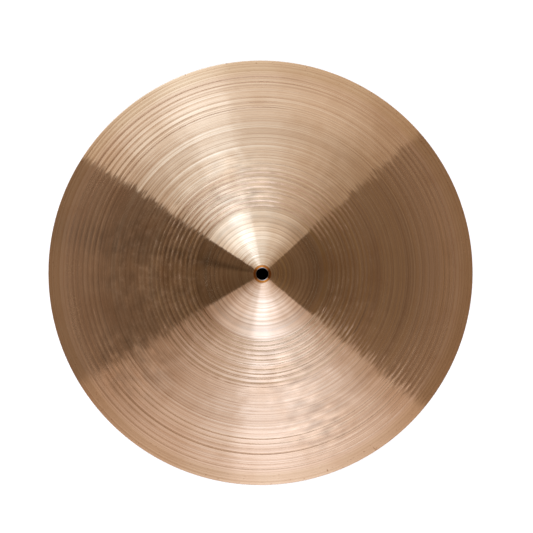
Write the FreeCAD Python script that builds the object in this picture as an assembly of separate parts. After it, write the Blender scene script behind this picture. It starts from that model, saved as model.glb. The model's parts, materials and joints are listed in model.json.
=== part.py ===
"""Crash cymbal, 18 inch: a round plate of cast bell bronze, hammered to a shallow bow and turned on a lathe.

The plate is a single turned solid. It has a pressed bell with a bevelled hole for the stand's rod, a hollow
shoulder, a bow that thins towards the rim, and a squared edge. Tonal grooves are turned into the upper face
in three zones: on the bell, beside it, and inside the rim. Millimetres, +Z up. The origin is on the axis, in
the plane of the rim that the plate lies on.
"""

import FreeCAD, Part
import math
import os

# Plate
plate_diameter = 457.2
edge_thickness = 0.7
bell_thickness = 1.4
bow_height = 23.0  # underside of the bell's foot above the plane of the rim

# Bell, measured on its underside
bell_diameter = 128.0
bell_height = 23.5  # from the foot to the crown, if there were no hole
shoulder_radius = 18.0  # hollow round between the bell and the bow, on the upper face

# Hole in the crown
hole_diameter = 12.7
bevel_width = 3.1  # worn, rounded bevel round the upper mouth
bevel_drop = 0.4
bevel_swell = 0.16  # how far the bevel swells above a straight one
burr_chamfer = 0.15  # broken edge round the lower mouth

# Tonal grooves: each is one deep pass of the turning tool, and a crest stands between two of them
groove_depth = 0.12
bell_groove_pitch = 4.6
inner_groove_pitch = 4.9  # on the bow beside the bell
outer_groove_pitch = 5.6  # on the bow inside the rim

# Stretches of the upper face that have no grooves
plain_crown_diameter = 43.0  # round the hole
shoulder_land = 5.0  # each side of the bell's foot
hammered_band = 55.0  # midway between the bell's foot and the edge
rim_band = 16.0  # inside the edge
pass_bulge = 0.06  # the bell and the bow are turned in passes, each at most this high above its chord

AXIS = FreeCAD.Vector(0, 0, 1)
ORIGIN = FreeCAD.Vector(0, 0, 0)

plate_radius = plate_diameter / 2
foot_radius = bell_diameter / 2
hole_radius = hole_diameter / 2


def point(radius, height):
    """A point of the turned section."""
    return FreeCAD.Vector(radius, 0, height)


def steps(start, end, count):
    """Radii from start to end, with count equal steps between them."""
    return [start + (end - start) * number / count for number in range(count + 1)]


class Crown:
    """A circle of the section whose centre is on the axis: the bell or the bow, seen from the side."""

    def __init__(self, centre, size):
        self.centre = centre
        self.size = size

    @classmethod
    def through(cls, inner, outer):
        """The circle through two points of the section, the inner one higher."""
        rise = inner.z - outer.z
        centre = (inner.z + outer.z) / 2 - (outer.x**2 - inner.x**2) / (2 * rise)
        return cls(centre, math.hypot(outer.x, outer.z - centre))

    def offset(self, distance):
        return Crown(self.centre, self.size + distance)

    def height(self, radius):
        return self.centre + math.sqrt(self.size**2 - radius**2)

    def passes(self, start, end):
        """Radii from start to end, evenly spaced along the circle, with a bulge of pass_bulge at most."""
        first = math.asin(start / self.size)
        last = math.asin(end / self.size)
        widest = 2 * math.acos(1 - pass_bulge / self.size)
        count = math.ceil((last - first) / widest)
        return [self.size * math.sin(angle) for angle in steps(first, last, count)]


class Skin:
    """One face of the plate in section: bell, hollow shoulder and bow, tangent to each other."""

    def __init__(self, bell, bow, shoulder):
        to_bell = bell.size + shoulder
        to_bow = bow.size + shoulder
        self.bell = bell
        self.bow = bow
        self.shoulder = shoulder
        self.hollow_height = (to_bell**2 - bell.centre**2 - to_bow**2 + bow.centre**2) / (
            2 * (bow.centre - bell.centre)
        )
        self.hollow_radius = math.sqrt(to_bell**2 - (self.hollow_height - bell.centre) ** 2)
        self.bell_end = self.hollow_radius * bell.size / to_bell
        self.bow_start = self.hollow_radius * bow.size / to_bow

    def height(self, radius):
        if radius < self.bell_end:
            return self.bell.height(radius)
        if radius > self.bow_start:
            return self.bow.height(radius)
        return self.hollow_height - math.sqrt(self.shoulder**2 - (radius - self.hollow_radius) ** 2)

    def at(self, radius):
        """The point of the face at a radius."""
        return point(radius, self.height(radius))

    def plain(self, start, end):
        """The face between two radii: passes over the bell and the bow, one arc in the hollow."""
        radii = [start]
        if start < self.bell_end:
            radii += self.bell.passes(start, min(end, self.bell_end))[1:]
        if start < self.bow_start and end > self.bell_end:
            radii += [min(end, self.bow_start)]
        if end > self.bow_start:
            radii += self.bow.passes(max(start, self.bow_start), end)[1:]
        return [
            Part.Arc(self.at(inner), self.at((inner + outer) / 2), self.at(outer)).toShape()
            for inner, outer in zip(radii, radii[1:])
        ]

    def grooved(self, start, end, pitch):
        """A whole number of grooves of about the pitch, from a crest at start to a crest at end."""
        edges = []
        crests = steps(start, end, max(1, round((end - start) / pitch)))
        for inner, outer in zip(crests, crests[1:]):
            valley = self.at((inner + outer) / 2) - point(0, groove_depth)
            edges.append(Part.makeLine(self.at(inner), valley))
            edges.append(Part.makeLine(valley, self.at(outer)))
        return edges


def plate_skins():
    """The upper and the lower face. Their bows are different circles, so the plate thins towards the rim."""
    foot = point(foot_radius, bow_height)
    under_bell = Crown.through(point(0, bow_height + bell_height), foot)
    under_bow = Crown.through(foot, point(plate_radius, 0))
    upper_bow = Crown.through(foot + point(0, bell_thickness), point(plate_radius, edge_thickness))
    upper = Skin(under_bell.offset(bell_thickness), upper_bow, shoulder_radius)
    lower = Skin(under_bell, under_bow, shoulder_radius + bell_thickness)
    return upper, lower


def upper_edges(skin):
    """From the bevel round the hole out to the edge, on the upper face."""
    crown_end = plain_crown_diameter / 2
    bell_stop = foot_radius - shoulder_land
    bow_start = foot_radius + shoulder_land
    bow_stop = plate_radius - rim_band
    midway = (foot_radius + plate_radius) / 2
    hammered_start = midway - hammered_band / 2
    hammered_stop = midway + hammered_band / 2
    return [
        *skin.plain(hole_radius + bevel_width, crown_end),
        *skin.grooved(crown_end, bell_stop, bell_groove_pitch),
        *skin.plain(bell_stop, bow_start),
        *skin.grooved(bow_start, hammered_start, inner_groove_pitch),
        *skin.plain(hammered_start, hammered_stop),
        *skin.grooved(hammered_stop, bow_stop, outer_groove_pitch),
        *skin.plain(bow_stop, plate_radius),
    ]


def hole_edges(upper, lower):
    """The rounded bevel, the wall of the hole and the broken edge at its lower mouth."""
    crown = upper.at(hole_radius + bevel_width)
    mouth = point(hole_radius, crown.z - bevel_drop)
    swell = (mouth + crown) / 2 + point(0, bevel_swell)
    burr = lower.at(hole_radius + burr_chamfer)
    wall_end = point(hole_radius, burr.z + burr_chamfer)
    return [
        Part.Arc(crown, swell, mouth).toShape(),
        Part.makeLine(mouth, wall_end),
        Part.makeLine(wall_end, burr),
    ]


def cymbal_plate():
    """The whole plate, turned from its half section."""
    upper, lower = plate_skins()
    edges = [
        *upper_edges(upper),
        Part.makeLine(upper.at(plate_radius), lower.at(plate_radius)),
        *lower.plain(hole_radius + burr_chamfer, plate_radius),
        *hole_edges(upper, lower),
    ]
    section = Part.Face(Part.Wire(Part.__sortEdges__(edges)))
    return section.revolve(ORIGIN, AXIS, 360)


def main():
    os.makedirs("parts", exist_ok=True)
    plate = cymbal_plate()
    plate.exportStep("parts/cymbal_plate.step")
    print("valid", plate.isValid(), "faces", len(plate.Faces), "volume cm3", round(plate.Volume / 1000, 1))


main()
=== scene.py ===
import json
import math

import bpy
import numpy as np
from mathutils import Matrix, Vector


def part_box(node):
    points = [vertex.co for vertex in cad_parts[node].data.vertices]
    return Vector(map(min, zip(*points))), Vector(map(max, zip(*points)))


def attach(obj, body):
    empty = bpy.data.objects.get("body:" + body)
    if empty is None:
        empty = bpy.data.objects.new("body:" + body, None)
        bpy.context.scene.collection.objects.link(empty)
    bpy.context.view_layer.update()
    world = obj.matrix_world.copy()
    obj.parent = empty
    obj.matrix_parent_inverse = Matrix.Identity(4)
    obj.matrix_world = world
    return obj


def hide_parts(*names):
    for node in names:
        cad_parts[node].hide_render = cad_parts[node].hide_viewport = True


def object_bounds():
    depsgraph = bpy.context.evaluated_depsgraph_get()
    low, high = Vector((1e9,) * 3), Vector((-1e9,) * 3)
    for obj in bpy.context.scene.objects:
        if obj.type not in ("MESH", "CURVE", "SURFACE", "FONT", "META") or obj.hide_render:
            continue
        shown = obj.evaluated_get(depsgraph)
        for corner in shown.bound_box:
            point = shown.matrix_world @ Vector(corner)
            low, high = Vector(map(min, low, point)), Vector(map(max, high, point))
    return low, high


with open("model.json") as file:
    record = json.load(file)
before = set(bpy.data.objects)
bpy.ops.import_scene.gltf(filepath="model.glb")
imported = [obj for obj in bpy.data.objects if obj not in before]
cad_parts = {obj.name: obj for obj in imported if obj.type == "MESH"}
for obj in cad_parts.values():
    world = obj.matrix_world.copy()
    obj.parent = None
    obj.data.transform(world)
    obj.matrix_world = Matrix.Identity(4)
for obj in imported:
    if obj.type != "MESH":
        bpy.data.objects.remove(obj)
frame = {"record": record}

mm = 0.001
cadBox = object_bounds()
plateLow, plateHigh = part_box("cymbal_plate")
centreHole = next(mount for mount in frame["record"]["mounts"] if mount["name"] == "centre_hole")
print("frame loaded: plate", round((plateHigh.x - plateLow.x) / mm, 1), "mm across")


# an sRGB hex value as linear red, green, blue and alpha
def linearColour(hexColour):
    channels = [int(hexColour[start:start + 2], 16) / 255 for start in (1, 3, 5)]
    return [c / 12.92 if c <= 0.04045 else ((c + 0.055) / 1.055) ** 2.4 for c in channels] + [1.0]


# adds one node; a setting names an input or a property, and a socket given as a value becomes a link
def addNode(tree, kind, inputs=None, **properties):
    node = tree.nodes.new(kind)
    for name, value in properties.items():
        setattr(node, name, value)
    for name, value in (inputs or {}).items():
        if isinstance(value, bpy.types.NodeSocket):
            tree.links.new(value, node.inputs[name])
        else:
            node.inputs[name].default_value = value
    return node


# a curve through places and heights
def setCurve(node, places):
    points = node.mapping.curves[0].points
    points[0].location = places[0]
    points[1].location = places[-1]
    for place, height in places[1:-1]:
        points.new(place, height)
    node.mapping.update()
    return node.outputs[0]


plateForm = {  # millimetres
    "edgeThickness": 0.7,
    "edgeRounding": 0.15,
    "bellThickness": 1.4,
    "bowHeight": 23.0,
    "bellDiameter": 128.0,
    "bellHeight": 23.5,
    "shoulderRadius": 18.0,
    "bevelWidth": 3.1,
    "bevelDrop": 0.4,
    "bevelSwell": 0.12,
    "burrChamfer": 0.15,
}

grooves = {  # millimetres
    "crownEnd": 21.5,
    "shoulderLand": 5.0,
    "hammeredBand": 55.0,
    "rimBand": 16.0,
    "bellPitch": 4.6,
    "innerPitch": 4.9,
    "outerPitch": 5.6,
    "faintPitch": 4.3,
    "rimPitch": 3.2,
    "rimLand": 2.5,
    "depth": 0.15,
    "faintShare": 0.4,  # how strong the grooves of the hammered band and the rim are
    "depthSpread": 0.3,  # share by which one groove may be shallower than the next
    "strengthRange": (0.65, 1.0),  # shares of the shade and the lean that a groove may have
    "crestWander": 0.07,  # share of the pitch
    "ringsPerGroove": 6,
    # over one pitch: how dark the cut is, and how far its flank leans (inwards is below zero)
    "shade": [(0.0, 0.3), (0.17, 1.0), (0.4, 0.1), (1.0, 0.0)],
    "lean": [(0.0, 0.5), (0.4, 0.5), (0.6, -1.0), (0.9, -1.0), (1.0, 0.0)],
}

hammering = {  # millimetres
    "innerRadius": 78.0,
    "outerRadius": 208.0,
    "rowSpacing": 10.0,
    "markSpacing": 12.0,
    "markSize": 3.6,
    "depth": 0.042,
    # shares of a spacing by which a mark may lie off its row or its turn
    "rowWander": 0.3,
    "turnWander": 0.35,
    # shares of the size and the depth that a mark may have
    "sizeRange": (0.8, 1.3),
    "depthRange": (0.2, 1.0),
    "fadeReach": 3.0,  # times its size, beyond which a mark no longer counts
}

meshing = {
    "turns": 288,
    "plainStep": 1.8,  # millimetres
    "undersideStep": 4.5,
    "edgeStart": 1.0,  # inside the edge, where the even rings end
    "bevelRings": 8,
}

plateRadius = (plateHigh.x - plateLow.x) / 2 / mm
holeRadius = centreHole["dims"]["r_mm"]
footRadius = plateForm["bellDiameter"] / 2
chance = np.random.default_rng(18)


def circleThrough(inner, outer):
    rise = inner[1] - outer[1]
    centre = (inner[1] + outer[1]) / 2 - (outer[0] ** 2 - inner[0] ** 2) / (2 * rise)
    return centre, math.hypot(outer[0], outer[1] - centre)


# one face of the plate: bell and bow are circles centred on the axis, joined by a tangent hollow
def faceCurve(bell, bow, hollow):
    toBell, toBow = bell[1] + hollow, bow[1] + hollow
    height = (toBell**2 - bell[0] ** 2 - toBow**2 + bow[0] ** 2) / (2 * (bow[0] - bell[0]))
    radius = math.sqrt(toBell**2 - (height - bell[0]) ** 2)
    bellEnd, bowStart = radius * bell[1] / toBell, radius * bow[1] / toBow

    def heightAt(r):
        r = np.asarray(r, float)
        onBell = bell[0] + np.sqrt(np.maximum(bell[1] ** 2 - r**2, 0))
        onBow = bow[0] + np.sqrt(bow[1] ** 2 - r**2)
        inHollow = height - np.sqrt(np.maximum(hollow**2 - (r - radius) ** 2, 0))
        return np.where(r < bellEnd, onBell, np.where(r > bowStart, onBow, inHollow))

    return heightAt


def plateFaces():
    foot = (footRadius, plateForm["bowHeight"])
    raisedFoot = (footRadius, plateForm["bowHeight"] + plateForm["bellThickness"])
    underBell = circleThrough((0, plateForm["bowHeight"] + plateForm["bellHeight"]), foot)
    underBow = circleThrough(foot, (plateRadius, 0))
    upperBow = circleThrough(raisedFoot, (plateRadius, plateForm["edgeThickness"]))
    upperBell = (underBell[0], underBell[1] + plateForm["bellThickness"])
    upper = faceCurve(upperBell, upperBow, plateForm["shoulderRadius"])
    lower = faceCurve(underBell, underBow, plateForm["shoulderRadius"] + plateForm["bellThickness"])
    return upper, lower


# crests between two tool passes, a little uneven as on a hand-turned plate
def crestRadii(start, end, pitch):
    count = max(1, round((end - start) / pitch))
    crests = np.linspace(start, end, count + 1)
    crests[1:-1] += chance.uniform(-1, 1, count - 1) * grooves["crestWander"] * pitch
    return crests


# crests of each grooved zone, and how strong its grooves are
def groovedZones():
    midway = (footRadius + plateRadius) / 2
    half = grooves["hammeredBand"] / 2
    land = grooves["shoulderLand"]
    rim = plateRadius - grooves["rimBand"]
    faint = grooves["faintShare"]
    return [
        (crestRadii(grooves["crownEnd"], footRadius - land, grooves["bellPitch"]), 1),
        (crestRadii(footRadius + land, midway - half, grooves["innerPitch"]), 1),
        (crestRadii(midway - half, midway + half, grooves["faintPitch"]), faint),
        (crestRadii(midway + half, rim, grooves["outerPitch"]), 1),
        (crestRadii(rim, plateRadius - grooves["rimLand"], grooves["rimPitch"]), faint),
    ]


def plainStretch(start, end, step):
    return np.linspace(start, end, max(2, math.ceil((end - start) / step)), endpoint=False)


# radius, depth below the smooth face, shade and lean, ring by ring over one groove
# 4 * share * (1 - share) is a round hollow that reaches 1 halfway
def grooveRings(inner, outer, strength):
    share = np.arange(grooves["ringsPerGroove"]) / grooves["ringsPerGroove"]
    deep = strength * grooves["depth"] * (1 - grooves["depthSpread"] * chance.random())
    shade = strength * np.interp(share, *zip(*grooves["shade"])) * chance.uniform(*grooves["strengthRange"])
    lean = strength * np.interp(share, *zip(*grooves["lean"])) * chance.uniform(*grooves["strengthRange"])
    # the flanks lean on the bow alone, and more towards the rim
    outwards = (outer - footRadius) / (plateRadius - footRadius)
    lean *= 1 + outwards if outwards > 0 else 0
    return [inner + (outer - inner) * share, deep * 4 * share * (1 - share), shade, lean]


def upperRings():
    rings = []
    at = holeRadius + plateForm["bevelWidth"]
    for crests, strength in groovedZones():
        if crests[0] > at:
            plain = plainStretch(at, crests[0], meshing["plainStep"])
            rings.append([plain, plain * 0, plain * 0, plain * 0])
        rings += [grooveRings(inner, outer, strength) for inner, outer in zip(crests, crests[1:])]
        at = crests[-1]
    plain = plainStretch(at, plateRadius - meshing["edgeStart"], meshing["plainStep"])
    rings.append([plain, plain * 0, plain * 0, plain * 0])
    return np.concatenate(rings, axis=1)


# closed section: bevel, upper face, edge, lower face and the wall of the hole
def plateSection(upper, lower):
    rounding, chamfer = plateForm["edgeRounding"], plateForm["burrChamfer"]
    mouth = float(upper(holeRadius + plateForm["bevelWidth"])) - plateForm["bevelDrop"]
    share = np.arange(meshing["bevelRings"]) / meshing["bevelRings"]
    bevelRadii = holeRadius + share * plateForm["bevelWidth"]
    bevelHeights = mouth + share * plateForm["bevelDrop"] + 4 * plateForm["bevelSwell"] * share * (1 - share)
    radii, depths, shades, leans = upperRings()
    edgeRadii = plateRadius - rounding * np.array([2, 1, 0, 0, 1])
    edgeHeights = np.concatenate([upper(edgeRadii[:3]), lower(edgeRadii[3:])])
    edgeHeights[2:4] += -rounding, rounding
    underEnd = plateRadius - meshing["edgeStart"]
    underRadii = plainStretch(holeRadius + chamfer, underEnd, meshing["undersideStep"])[::-1]
    wallLow = float(lower(holeRadius + chamfer)) + chamfer
    wallHeights = [wallLow, (wallLow + mouth) / 2]
    sectionRadii = np.concatenate([bevelRadii, radii, edgeRadii, underRadii, [holeRadius, holeRadius]])
    upperHeights = upper(radii) - depths
    heights = np.concatenate([bevelHeights, upperHeights, edgeHeights, lower(underRadii), wallHeights])
    marks = np.zeros((2, len(sectionRadii)))
    marks[:, len(bevelRadii):len(bevelRadii) + len(radii)] = shades, leans
    return sectionRadii, heights, marks


# rows of hammer marks, as places, sizes and depths
def hammerMarks():
    marks = []
    for row in np.arange(hammering["innerRadius"], hammering["outerRadius"], hammering["rowSpacing"]):
        count = round(2 * math.pi * row / hammering["markSpacing"])
        offTurn = chance.uniform(-hammering["turnWander"], hammering["turnWander"], count)
        turns = (np.arange(count) + offTurn + chance.random()) * 2 * math.pi / count
        offRow = chance.uniform(-hammering["rowWander"], hammering["rowWander"], count)
        away = row + offRow * hammering["rowSpacing"]
        size = hammering["markSize"] * chance.uniform(*hammering["sizeRange"], count)
        deep = hammering["depth"] * chance.uniform(*hammering["depthRange"], count)
        marks.append(np.stack([away * np.cos(turns), away * np.sin(turns), size, deep], axis=1))
    return np.concatenate(marks)


def dentedBy(marks, x, y):
    drop = np.zeros_like(x)
    for markX, markY, size, deep in marks:
        reach = hammering["fadeReach"] * size
        near = (np.abs(x - markX) < reach) & (np.abs(y - markY) < reach)
        away = (x[near] - markX) ** 2 + (y[near] - markY) ** 2
        drop[near] += deep * np.exp(-away / (2 * size**2))
    return drop


def turnedPlate():
    radii, heights, marks = plateSection(*plateFaces())
    turns = np.arange(meshing["turns"]) * 2 * math.pi / meshing["turns"]
    x = radii[:, None] * np.cos(turns)
    y = radii[:, None] * np.sin(turns)
    z = heights[:, None] - dentedBy(hammerMarks(), x, y)
    points = np.stack([x, y, z], axis=2).reshape(-1, 3) * mm
    ring = np.arange(len(radii))[:, None] * len(turns)
    nextRing = np.roll(ring, -1, axis=0)
    here = np.arange(len(turns))
    beside = np.roll(here, -1)
    faces = np.stack([ring + here, nextRing + here, nextRing + beside, ring + beside], axis=2).reshape(-1, 4)
    mesh = bpy.data.meshes.new("turned_plate")
    mesh.from_pydata(points.tolist(), [], faces.tolist())
    mesh.shade_smooth()
    for name, values in zip(("toolShade", "toolLean"), marks):
        mesh.attributes.new(name, "FLOAT", "POINT").data.foreach_set("value", np.repeat(values, len(turns)))
    plate = bpy.data.objects.new("turned_plate", mesh)
    bpy.context.scene.collection.objects.link(plate)
    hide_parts("cymbal_plate")
    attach(plate, "root")
    return plate


# bell bronze is copper with a fifth of tin, cast and turned: fine tool lines stretch each light
# across the rings, so that a soft box shows as a wedge
bellBronze = {
    "metal": "#DCBB99",
    "rimMetal": "#D4AD87",
    "edgeMetal": "#CBA47B",
    "edgeBand": (0.93, 0.955),  # shares of the radius
    "lineShade": "#C7A483",
    "lineBright": "#E8CDAE",
    "grooveShade": "#94704F",
    "grooveDarkness": 0.42,
    "flankLean": 0.10,  # slope that the tool leaves on each side of a ridge, beyond the mesh's own
    "roughness": 0.105,
    "anisotropy": 1.0,
    # amber wax over the metal thickens towards the rim and scatters a little light, so the rim looks warmer
    "wax": "#FFEDDE",
    "waxStrength": 1.21,
    # radius as a share, then how much of the metal shows bare
    "bareMetal": [
        (0.0, 1.0), (0.28, 1.0), (0.55, 0.93), (0.75, 0.865), (0.92, 0.75), (0.955, 0.7), (1.0, 0.72),
    ],
    # the colour is a little darker in the shoulder and on the hammered band: radius as a share, then
    # brightness
    "bandTone": [
        (0.0, 0.9), (0.09, 0.91), (0.14, 0.94), (0.19, 0.98), (0.25, 0.98), (0.27, 0.9), (0.305, 0.9),
        (0.325, 0.97), (0.5, 0.97), (0.58, 0.925), (0.7, 0.9), (0.77, 0.97), (0.83, 0.98),
        (0.93, 0.97), (0.965, 0.955), (1.0, 1.0),
    ],
    # spacing in millimetres, slope and share of the tone
    # real tool lines are about 0.3 apart, and most of these are drawn coarser so that they show
    "lines": [(0.4, 0.07, 0.25), (0.75, 0.06, 0.35), (1.2, 0.04, 0.4)],
    "toneRange": 0.19,  # the tone at which a line is as dark as lineShade or as bright as lineBright
    "lineDrift": 0.5,  # how fast the lines change round the plate
    # sideways slope of the lines, which frays the edge of each light; lengths in millimetres
    "waver": {"slope": 0.005, "length": 16.0, "width": 1.2},
    # a wipe leaves short strokes along the rings where hands hold the plate: place and reach in millimetres
    "handled": [(-115, 8, 85), (57, -160, 50), (-25, 85, 55), (25, -110, 50), (-140, -95, 60)],
    "stroke": {"depth": 0.2, "length": 15.0, "width": 8.0},
    # polishing has rounded the grooves off in these places
    "polished": [(192, 5, 140), (85, 165, 80), (38, 5, 34)],
    "grooveLeft": 0.3,  # share of a groove's tone and lean that is left there
    # a darker patch, in the stain's colour, on one side of the crown
    "crownPatch": [(5.5, -15, 14)],
    "crownPatchStrength": 0.42,
    "fullWithin": 0.4,  # share of a reach, for all the places above
    # patches: size in millimetres, and the noise levels at which they start and are full
    "stain": {"colour": "#B98E66", "size": 38.0, "starts": 0.5, "full": 0.8, "strength": 0.45},
    "rimSpot": {"colour": "#8A5A32", "size": 2.2, "starts": 0.67, "full": 0.72, "strength": 0.9},
    "rimSpotBand": (16.0, 4.0),  # millimetres inside the edge
    "smudge": {"size": 8.0, "starts": 0.5, "full": 0.7, "strength": 0.08},
    "scuff": {"size": 1.8, "starts": 0.55, "full": 0.72, "strength": 0.08},
    "scuffedArea": {"size": 42.0, "starts": 0.52, "full": 0.66, "strength": 1.0},
    # an orange band on the lip round the hole
    "orangeLip": "#AE6C2E",
    # painted glint: a grey ring where the hole's sharp edge catches the light
    "paintedGlintRim": "#988D84",
    "paintedGlintWidth": 0.7,  # millimetres
    "lipBlend": 0.1,
}


noiseMiddle = 0.5
noiseReach = 4.0  # noise seldom strays more than a quarter from its middle, so this brings it to 1


# how much a kind of patch covers each place
def patches(tree, place, kind):
    size = kind["size"] * mm
    noise = addNode(tree, "ShaderNodeTexNoise", {"Vector": place, "Scale": 1 / size, "Detail": 2.0})
    return addNode(
        tree, "ShaderNodeMapRange",
        {"Value": noise.outputs["Fac"], "From Min": kind["starts"], "From Max": kind["full"],
         "To Max": kind["strength"]},
    ).outputs[0]


# noise drawn out along the rings, from -0.5 to 0.5
def strokesAlong(tree, flat, radius, kind):
    ring = addNode(tree, "ShaderNodeMath", {0: radius, 1: 1 / (kind["width"] * mm)}, operation="MULTIPLY")
    upRing = addNode(tree, "ShaderNodeCombineXYZ", {2: ring.outputs[0]})
    spot = addNode(
        tree, "ShaderNodeVectorMath", {0: flat, 1: [1 / (kind["length"] * mm)] * 3, 2: upRing.outputs[0]},
        operation="MULTIPLY_ADD",
    )
    noise = addNode(tree, "ShaderNodeTexNoise", {"Vector": spot.outputs[0], "Scale": 1.0, "Detail": 1.0})
    return addNode(
        tree, "ShaderNodeMath", {0: noise.outputs["Fac"], 1: noiseMiddle}, operation="SUBTRACT",
    ).outputs[0]


# radial slope and tone of the fine tool lines, on top of the flanks of the grooves
def toolLines(tree, radius, outward, grooved):
    flank = addNode(tree, "ShaderNodeAttribute", attribute_name="toolLean").outputs["Fac"]
    steepest = addNode(
        tree, "ShaderNodeMath", {0: grooved, 1: bellBronze["flankLean"]}, operation="MULTIPLY",
    ).outputs[0]
    slope = addNode(tree, "ShaderNodeMath", {0: flank, 1: steepest}, operation="MULTIPLY").outputs[0]
    drift = addNode(
        tree, "ShaderNodeVectorMath", {0: outward, "Scale": bellBronze["lineDrift"]}, operation="SCALE",
    ).outputs[0]
    tone = 0.0
    for spacing, steep, toneShare in bellBronze["lines"]:
        scaled = addNode(tree, "ShaderNodeMath", {0: radius, 1: 1 / (spacing * mm)}, operation="MULTIPLY")
        along = addNode(tree, "ShaderNodeCombineXYZ", {2: scaled.outputs[0]})
        spot = addNode(tree, "ShaderNodeVectorMath", {0: drift, 1: along.outputs[0]}, operation="ADD")
        noise = addNode(tree, "ShaderNodeTexNoise", {"Vector": spot.outputs[0], "Scale": 1.0, "Detail": 1.0})
        level = addNode(
            tree, "ShaderNodeMath", {0: noise.outputs["Fac"], 1: noiseMiddle}, operation="SUBTRACT",
        ).outputs[0]
        slope = addNode(
            tree, "ShaderNodeMath", {0: level, 1: noiseReach * steep, 2: slope}, operation="MULTIPLY_ADD",
        ).outputs[0]
        tone = addNode(
            tree, "ShaderNodeMath", {0: level, 1: toneShare, 2: tone}, operation="MULTIPLY_ADD",
        ).outputs[0]
    return slope, tone


def leaningNormal(tree, flat, radius, outward, slope):
    waver = strokesAlong(tree, flat, radius, bellBronze["waver"])
    steepness = noiseReach * bellBronze["waver"]["slope"]
    sideSlope = addNode(tree, "ShaderNodeMath", {0: waver, 1: steepness}, operation="MULTIPLY").outputs[0]
    aside = addNode(
        tree, "ShaderNodeVectorMath", {0: (0, 0, 1), 1: outward}, operation="CROSS_PRODUCT",
    ).outputs[0]
    normal = addNode(tree, "ShaderNodeNewGeometry").outputs["Normal"]
    for way, steep in ((outward, slope), (aside, sideSlope)):
        lean = addNode(tree, "ShaderNodeVectorMath", {0: way, "Scale": steep}, operation="SCALE").outputs[0]
        normal = addNode(tree, "ShaderNodeVectorMath", {0: normal, 1: lean}, operation="ADD").outputs[0]
    return addNode(tree, "ShaderNodeVectorMath", {0: normal}, operation="NORMALIZE").outputs[0]


# 1 close by a few places, 0 elsewhere
def closeTo(tree, flat, places):
    share = 0.0
    for placeX, placeY, reach in places:
        off = addNode(
            tree, "ShaderNodeVectorMath", {0: flat, 1: (placeX * mm, placeY * mm, 0)}, operation="DISTANCE",
        ).outputs["Value"]
        closeBy = addNode(
            tree, "ShaderNodeMapRange",
            {"Value": off, "From Min": bellBronze["fullWithin"] * reach * mm, "From Max": reach * mm,
             "To Min": 1.0, "To Max": 0.0},
        ).outputs[0]
        share = addNode(tree, "ShaderNodeMath", {0: closeBy, 1: share}, operation="MAXIMUM").outputs[0]
    return share


# the lines' own tone, tinted towards the rim and darkened in the grooves
# sockets 6 and 7 and output 2 of a Mix node are its colours
def latheColour(tree, radiusShare, tone, grooved):
    span = bellBronze["toneRange"]
    lineShare = addNode(
        tree, "ShaderNodeMapRange", {"Value": tone, "From Min": -span, "From Max": span},
    ).outputs[0]
    lineTone = addNode(tree, "ShaderNodeValToRGB", {0: lineShare})
    stops = lineTone.color_ramp.elements
    stops[0].color = linearColour(bellBronze["lineShade"])
    stops[1].color = linearColour(bellBronze["lineBright"])
    stops.new(0.5).color = linearColour(bellBronze["metal"])
    metal = linearColour(bellBronze["metal"])
    tint = (1, 1, 1, 1)
    bowBand = (footRadius / plateRadius, 1.0)
    for name, (start, end) in (("rimMetal", bowBand), ("edgeMetal", bellBronze["edgeBand"])):
        outwards = addNode(
            tree, "ShaderNodeMapRange", {"Value": radiusShare, "From Min": start, "From Max": end},
        ).outputs[0]
        further = [channel / own for channel, own in zip(linearColour(bellBronze[name]), metal)]
        tint = addNode(tree, "ShaderNodeMix", {0: outwards, 6: tint, 7: further}, data_type="RGBA").outputs[2]
    tinted = addNode(
        tree, "ShaderNodeMix", {0: 1.0, 6: lineTone.outputs[0], 7: tint},
        data_type="RGBA", blend_type="MULTIPLY",
    ).outputs[2]
    groove = addNode(tree, "ShaderNodeAttribute", attribute_name="toolShade").outputs["Fac"]
    darkest = addNode(
        tree, "ShaderNodeMath", {0: grooved, 1: bellBronze["grooveDarkness"]}, operation="MULTIPLY",
    ).outputs[0]
    dark = addNode(tree, "ShaderNodeMath", {0: groove, 1: darkest}, operation="MULTIPLY").outputs[0]
    shade = linearColour(bellBronze["grooveShade"])
    return addNode(tree, "ShaderNodeMix", {0: dark, 6: tinted, 7: shade}, data_type="RGBA").outputs[2]
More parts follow.
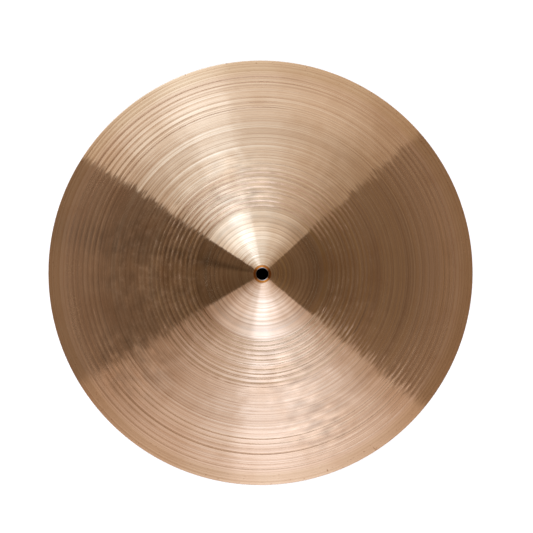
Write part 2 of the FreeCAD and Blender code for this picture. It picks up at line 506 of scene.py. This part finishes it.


# wiped strokes, stains, a darker patch on the crown, the spots of oxide near the edge, an orange band on the
# lip round the hole, and painted glint as a grey ring at the hole's edge
def wornColour(tree, colour, place, flat, radius, radiusShare, handled):
    stroke = strokesAlong(tree, flat, radius, bellBronze["stroke"])
    depth = noiseReach * bellBronze["stroke"]["depth"]
    strokeTone = addNode(
        tree, "ShaderNodeMath", {0: stroke, 1: depth, 2: 1.0}, operation="MULTIPLY_ADD",
    ).outputs[0]
    wiped = addNode(tree, "ShaderNodeMix", {0: handled, 2: 1.0, 3: strokeTone}).outputs[0]
    bandTone = setCurve(addNode(tree, "ShaderNodeFloatCurve", {"Value": radiusShare}), bellBronze["bandTone"])
    level = addNode(tree, "ShaderNodeMath", {0: wiped, 1: bandTone}, operation="MULTIPLY").outputs[0]
    colour = addNode(tree, "ShaderNodeVectorMath", {0: colour, "Scale": level}, operation="SCALE").outputs[0]
    bandStart, bandEnd = [(plateRadius - inside) * mm for inside in bellBronze["rimSpotBand"]]
    byRim = addNode(
        tree, "ShaderNodeMapRange", {"Value": radius, "From Min": bandStart, "From Max": bandEnd},
    ).outputs[0]
    covers = [(patches(tree, place, bellBronze["stain"]), bellBronze["stain"]["colour"])]
    nearCrownPatch = closeTo(tree, flat, bellBronze["crownPatch"])
    crownPatch = addNode(
        tree, "ShaderNodeMath", {0: nearCrownPatch, 1: bellBronze["crownPatchStrength"]}, operation="MULTIPLY",
    ).outputs[0]
    covers.append((crownPatch, bellBronze["stain"]["colour"]))
    spots = patches(tree, place, bellBronze["rimSpot"])
    spotted = addNode(tree, "ShaderNodeMath", {0: spots, 1: byRim}, operation="MULTIPLY").outputs[0]
    covers.append((spotted, bellBronze["rimSpot"]["colour"]))
    # the orange lip, then painted glint: the grey ring at the hole's edge
    for name, width in (("orangeLip", plateForm["bevelWidth"]), ("paintedGlintRim", bellBronze["paintedGlintWidth"])):
        end = holeRadius + width
        inside = addNode(
            tree, "ShaderNodeMapRange",
            {"Value": radius, "From Min": (end - bellBronze["lipBlend"]) * mm,
             "From Max": (end + bellBronze["lipBlend"]) * mm, "To Min": 1.0, "To Max": 0.0},
        ).outputs[0]
        covers.append((inside, bellBronze[name]))
    for cover, hexColour in covers:
        over = linearColour(hexColour)
        colour = addNode(tree, "ShaderNodeMix", {0: cover, 6: colour, 7: over}, data_type="RGBA").outputs[2]
    return colour


# share of bare metal: scuffs and smudges scatter light on top of what the wax does
def bareShare(tree, place, radiusShare, handled):
    bare = setCurve(addNode(tree, "ShaderNodeFloatCurve", {"Value": radiusShare}), bellBronze["bareMetal"])
    scuffed = patches(tree, place, bellBronze["scuffedArea"])
    for kind, area in (("scuff", scuffed), ("smudge", handled)):
        cover = patches(tree, place, bellBronze[kind])
        haze = addNode(tree, "ShaderNodeMath", {0: cover, 1: area}, operation="MULTIPLY").outputs[0]
        bare = addNode(tree, "ShaderNodeMath", {0: bare, 1: haze}, operation="SUBTRACT").outputs[0]
    return bare


def turnedBellBronze():
    material = bpy.data.materials.new("turned bell bronze")
    material.use_nodes = True
    tree = material.node_tree
    tree.nodes.clear()
    place = addNode(tree, "ShaderNodeTexCoord").outputs["Object"]
    flat = addNode(tree, "ShaderNodeVectorMath", {0: place, 1: (1, 1, 0)}, operation="MULTIPLY").outputs[0]
    radius = addNode(tree, "ShaderNodeVectorMath", {0: flat}, operation="LENGTH").outputs["Value"]
    outward = addNode(tree, "ShaderNodeVectorMath", {0: flat}, operation="NORMALIZE").outputs[0]
    edgeRadius = plateRadius * mm
    radiusShare = addNode(tree, "ShaderNodeMath", {0: radius, 1: edgeRadius}, operation="DIVIDE").outputs[0]
    polished = closeTo(tree, flat, bellBronze["polished"])
    grooved = addNode(
        tree, "ShaderNodeMapRange", {"Value": polished, "To Min": 1.0, "To Max": bellBronze["grooveLeft"]},
    ).outputs[0]
    slope, tone = toolLines(tree, radius, outward, grooved)
    handled = closeTo(tree, flat, bellBronze["handled"])
    lathed = latheColour(tree, radiusShare, tone, grooved)
    colour = wornColour(tree, lathed, place, flat, radius, radiusShare, handled)
    tint = [bellBronze["waxStrength"] * channel for channel in linearColour(bellBronze["wax"])[:3]]
    waxed = addNode(tree, "ShaderNodeVectorMath", {0: colour, 1: tint}, operation="MULTIPLY").outputs[0]
    lean = leaningNormal(tree, flat, radius, outward, slope)
    wax, metal = [
        addNode(
            tree, "ShaderNodeBsdfPrincipled",
            {"Base Color": layer, "Metallic": metallic, "Roughness": bellBronze["roughness"],
             "Anisotropic": bellBronze["anisotropy"], "Normal": lean, "Tangent": outward},
        ).outputs[0]
        for layer, metallic in ((waxed, 0.0), (colour, 1.0))
    ]
    bare = bareShare(tree, place, radiusShare, handled)
    surface = addNode(tree, "ShaderNodeMixShader", {0: bare, 1: wax, 2: metal}).outputs[0]
    addNode(tree, "ShaderNodeOutputMaterial", {"Surface": surface})
    return material


# a soft box behind and one in front, each brightest near its middle, and dim brown gaps left and right
studio = {
    # degrees round from +X towards +Y, then the level, where 1 shows as white
    "highUp": [
        (0, 0.13), (20, 0.145), (41.3, 0.173), (42, 0.42), (72, 0.89), (87, 1.15), (98, 1.23), (105, 1.7),
        (113, 1.85), (124, 1.17), (146.8, 0.6), (147.4, 0.107), (168, 0.096), (177, 0.14), (190, 0.126),
        (208, 0.12), (217, 0.34), (240, 0.73), (256, 1.07), (267, 1.85), (276, 1.97), (292, 1.68),
        (320.4, 0.64), (321.1, 0.205), (331, 0.183), (345, 0.132),
    ],
    "lowDown": [
        (0, 0.131), (20, 0.137), (41.3, 0.157), (42, 0.52), (72, 1.11), (92, 1.55), (98, 1.6), (104, 2.27),
        (114, 2.52), (128, 1.8), (146.8, 1.1), (147.4, 0.128), (160, 0.122), (168, 0.075), (176, 0.133),
        (210, 0.11), (213, 0.49), (240, 1.03), (256, 1.41), (266, 2.12), (274, 2.22), (284, 1.88),
        (300, 1.22), (319.6, 0.72), (320.3, 0.18), (345, 0.14),
    ],
    "centre": (0.028, -0.016),  # where the boxes meet, as a direction's X and Y
    # a dim light is brown and a bright one cool, as level, red share and blue share
    "warmth": [(0.1, 1.40, 0.70), (0.5, 1.13, 0.90), (1.0, 0.97, 1.07), (1.4, 0.87, 1.19), (2.5, 0.78, 1.35)],
    "frontTint": (1.04, 1.0, 1.06),  # the front box is a little pinker
    "frontBox": (200, 0.3),  # it lies beyond this bearing, above this level
    # over the sine of the angle off the zenith: share of the low lights, brightness of the boxes, dim ceiling
    "lowShare": [(0.0, 0.0), (0.15, 0.0), (0.6, 1.0), (0.8, 1.0), (0.97, 0.75), (1.0, 0.7)],
    "boxFace": [
        (0.0, 1.0), (0.2, 1.0), (0.36, 0.885), (0.42, 0.86),
        (0.6, 1.0), (0.85, 1.0), (0.93, 0.88), (1.0, 0.72),
    ],
    "ceilingShare": [(0.0, 1.0), (0.04, 0.8), (0.1, 0.0), (1.0, 0.0)],
    "ceiling": "#84755F",
    # a faint warm glow that the rim and one ring of the bell see, stronger on the right
    "rimGlow": {"colour": "#FFD566", "strength": 0.045, "rises": (0.3, 0.42), "falls": (0.44, 0.54),
                "left": 0.45, "right": 2.1, "turnsOver": 0.3},
    "floor": "#F5F1E9",
    "floorGlow": 0.45,
    "floorReach": 15.0,  # metres
    "floorGap": 0.2,  # millimetres under the edge
    "glowBand": (0.99, 1.0),  # shares of the plate's radius
    # painted shade: a black round on the floor under the bell, seen through the hole
    "paintedShadeUnderBell": "#0A0A0A",
    "paintedShadeRadius": 60.0,  # millimetres
}


def boxLights(tree, compass):
    levels, reds, blues = zip(*studio["warmth"])
    brightest = max(levels) * max(blues) * max(studio["frontTint"])
    bands = []
    for band in ("highUp", "lowDown"):
        colours = []
        for degrees, amount in studio[band]:
            inFront = degrees > studio["frontBox"][0] and amount > studio["frontBox"][1]
            warm = (np.interp(amount, levels, reds), 1, np.interp(amount, levels, blues))
            tint = studio["frontTint"] if inFront else (1, 1, 1)
            colours.append([amount * w * t / brightest for w, t in zip(warm, tint)] + [1])
        around = addNode(tree, "ShaderNodeValToRGB", {0: compass})
        around.color_ramp.interpolation = "EASE"
        stops = around.color_ramp.elements
        stops[0].color = stops[1].color = colours[0]
        for stop, colour in list(zip(studio[band], colours))[1:]:
            stops.new(stop[0] / 360).color = colour
        bands.append(around.outputs[0])
    return bands, brightest


def rimGlow(tree, way, offZenith):
    glow = studio["rimGlow"]
    level = glow["strength"]
    wayX = addNode(tree, "ShaderNodeSeparateXYZ", {0: way}).outputs["X"]
    turn = glow["turnsOver"]
    for value, start, end, low, high in (
        (offZenith, *glow["rises"], 0.0, 1.0),
        (offZenith, *glow["falls"], 1.0, 0.0),
        (wayX, -turn, turn, glow["left"], glow["right"]),
    ):
        part = addNode(
            tree, "ShaderNodeMapRange",
            {"Value": value, "From Min": start, "From Max": end, "To Min": low, "To Max": high},
            interpolation_type="SMOOTHSTEP",
        ).outputs[0]
        level = addNode(tree, "ShaderNodeMath", {0: part, 1: level}, operation="MULTIPLY").outputs[0]
    tint = linearColour(glow["colour"])[:3]
    return addNode(tree, "ShaderNodeVectorMath", {0: tint, "Scale": level}, operation="SCALE").outputs[0]


def studioWorld():
    world = bpy.data.worlds.new("studio")
    world.use_nodes = True
    bpy.context.scene.world = world
    tree = world.node_tree
    tree.nodes.clear()
    way = addNode(tree, "ShaderNodeTexCoord").outputs["Generated"]
    level = addNode(tree, "ShaderNodeVectorMath", {0: way, 1: (1, 1, 0)}, operation="MULTIPLY").outputs[0]
    offZenith = addNode(tree, "ShaderNodeVectorMath", {0: level}, operation="LENGTH").outputs["Value"]
    fromMeeting = addNode(
        tree, "ShaderNodeVectorMath", {0: way, 1: (*studio["centre"], 0)}, operation="SUBTRACT",
    ).outputs[0]
    parts = addNode(tree, "ShaderNodeSeparateXYZ", {0: fromMeeting}).outputs
    angle = addNode(tree, "ShaderNodeMath", {0: parts["Y"], 1: parts["X"]}, operation="ARCTAN2").outputs[0]
    turn = addNode(tree, "ShaderNodeMath", {0: angle, 1: 2 * math.pi}, operation="DIVIDE").outputs[0]
    compass = addNode(tree, "ShaderNodeMath", {0: turn}, operation="FRACT").outputs[0]
    (high, low), brightest = boxLights(tree, compass)
    lowShare, boxFace, ceilingShare = [
        setCurve(addNode(tree, "ShaderNodeFloatCurve", {"Value": offZenith}), studio[profile])
        for profile in ("lowShare", "boxFace", "ceilingShare")
    ]
    light = addNode(tree, "ShaderNodeMix", {0: lowShare, 6: high, 7: low}, data_type="RGBA").outputs[2]
    strength = addNode(tree, "ShaderNodeMath", {0: boxFace, 1: brightest}, operation="MULTIPLY").outputs[0]
    boxes = addNode(tree, "ShaderNodeVectorMath", {0: light, "Scale": strength}, operation="SCALE").outputs[0]
    ceiling = linearColour(studio["ceiling"])
    above = addNode(
        tree, "ShaderNodeMix", {0: ceilingShare, 6: boxes, 7: ceiling}, data_type="RGBA",
    ).outputs[2]
    rim = rimGlow(tree, way, offZenith)
    allLight = addNode(tree, "ShaderNodeVectorMath", {0: above, 1: rim}, operation="ADD").outputs[0]
    glow = addNode(tree, "ShaderNodeBackground", {"Color": allLight, "Strength": 1.0}).outputs[0]
    white = addNode(tree, "ShaderNodeBackground", {"Color": (1, 1, 1, 1), "Strength": 1.0}).outputs[0]
    # white to look at, and in reflections under the horizon; above it the metal shows the soft boxes
    below = addNode(tree, "ShaderNodeMath", {0: parts["Z"], 1: 0.0}, operation="LESS_THAN").outputs[0]
    path = addNode(tree, "ShaderNodeLightPath").outputs
    seen = path["Is Camera Ray"]
    for ray in ("Is Glossy Ray", "Is Transmission Ray"):
        mirrored = addNode(tree, "ShaderNodeMath", {0: path[ray], 1: below}, operation="MULTIPLY").outputs[0]
        seen = addNode(tree, "ShaderNodeMath", {0: seen, 1: mirrored}, operation="MAXIMUM").outputs[0]
    both = addNode(tree, "ShaderNodeMixShader", {0: seen, 1: glow, 2: white}).outputs[0]
    addNode(tree, "ShaderNodeOutputWorld", {"Surface": both})


# matt paper: the plate's shadow falls soft on it
def paleSweep():
    material = bpy.data.materials.new("pale paper sweep")
    material.use_nodes = True
    tree = material.node_tree
    tree.nodes.clear()
    place = addNode(tree, "ShaderNodeTexCoord").outputs["Object"]
    flat = addNode(tree, "ShaderNodeVectorMath", {0: place, 1: (1, 1, 0)}, operation="MULTIPLY").outputs[0]
    away = addNode(tree, "ShaderNodeVectorMath", {0: flat}, operation="LENGTH").outputs["Value"]
    # the paper glows for what looks at it, beyond the plate and its shadow
    glowStart, glowEnd = [share * plateRadius * mm for share in studio["glowBand"]]
    strength = addNode(
        tree, "ShaderNodeMapRange",
        {"Value": away, "From Min": glowStart, "From Max": glowEnd, "To Max": studio["floorGlow"]},
    ).outputs[0]
    path = addNode(tree, "ShaderNodeLightPath").outputs
    seen = path["Is Camera Ray"]
    for ray in ("Is Glossy Ray", "Is Transmission Ray"):
        seen = addNode(tree, "ShaderNodeMath", {0: seen, 1: path[ray]}, operation="MAXIMUM").outputs[0]
    strength = addNode(tree, "ShaderNodeMath", {0: strength, 1: seen}, operation="MULTIPLY").outputs[0]
    # a round of painted black shade on the floor under the bell, so that the open hole reads dark
    beyondPaintedShade = addNode(
        tree, "ShaderNodeMath", {0: away, 1: studio["paintedShadeRadius"] * mm}, operation="GREATER_THAN",
    ).outputs[0]
    underBellShade, sweep = [linearColour(studio[name]) for name in ("paintedShadeUnderBell", "floor")]
    ground = addNode(tree, "ShaderNodeMix", {0: beyondPaintedShade, 6: underBellShade, 7: sweep}, data_type="RGBA").outputs[2]
    paper = addNode(tree, "ShaderNodeBsdfDiffuse", {"Color": ground}).outputs[0]
    glow = addNode(tree, "ShaderNodeEmission", {"Color": (1, 1, 1, 1), "Strength": strength}).outputs[0]
    both = addNode(tree, "ShaderNodeAddShader", {0: paper, 1: glow}).outputs[0]
    addNode(tree, "ShaderNodeOutputMaterial", {"Surface": both})
    return material


def studioFloor():
    mesh = bpy.data.meshes.new("studio_floor")
    reach = studio["floorReach"]
    low = cadBox[0].z - studio["floorGap"] * mm
    corners = [(-reach, -reach, low), (reach, -reach, low), (reach, reach, low), (-reach, reach, low)]
    mesh.from_pydata(corners, [], [(0, 1, 2, 3)])
    mesh.materials.append(paleSweep())
    floor = bpy.data.objects.new("studio_floor", mesh)
    bpy.context.scene.collection.objects.link(floor)


camera = {
    "distance": 2.2,  # metres
    "leanX": -1.6,  # degrees off the axis, towards -X and +Y
    "leanY": 0.9,
    "aimX": 5.8,  # millimetres
    "aimY": 7.15,
    "viewWidth": 1.256,  # times the plate's diameter
}


def studioCamera():
    data = bpy.data.cameras.new("camera")
    view = bpy.data.objects.new("camera", data)
    bpy.context.scene.collection.objects.link(view)
    tilt = [math.tan(math.radians(camera[lean])) for lean in ("leanX", "leanY")]
    back = Vector((*tilt, 1)).normalized()
    view.location = Vector((camera["aimX"] * mm, camera["aimY"] * mm, 0)) + back * camera["distance"]
    # the image's up is +Y
    side = Vector((0, 1, 0)).cross(back).normalized()
    view.rotation_euler = Matrix((side, back.cross(side), back)).transposed().to_euler()
    data.lens = data.sensor_width * camera["distance"] / (camera["viewWidth"] * 2 * plateRadius * mm)
    bpy.context.scene.camera = view


plate = turnedPlate()
plate.data.materials.append(turnedBellBronze())
print("plate turned:", len(plate.data.vertices), "points")
studioWorld()
studioFloor()
studioCamera()
bpy.context.scene.view_settings.view_transform = "Standard"
print("studio ready")
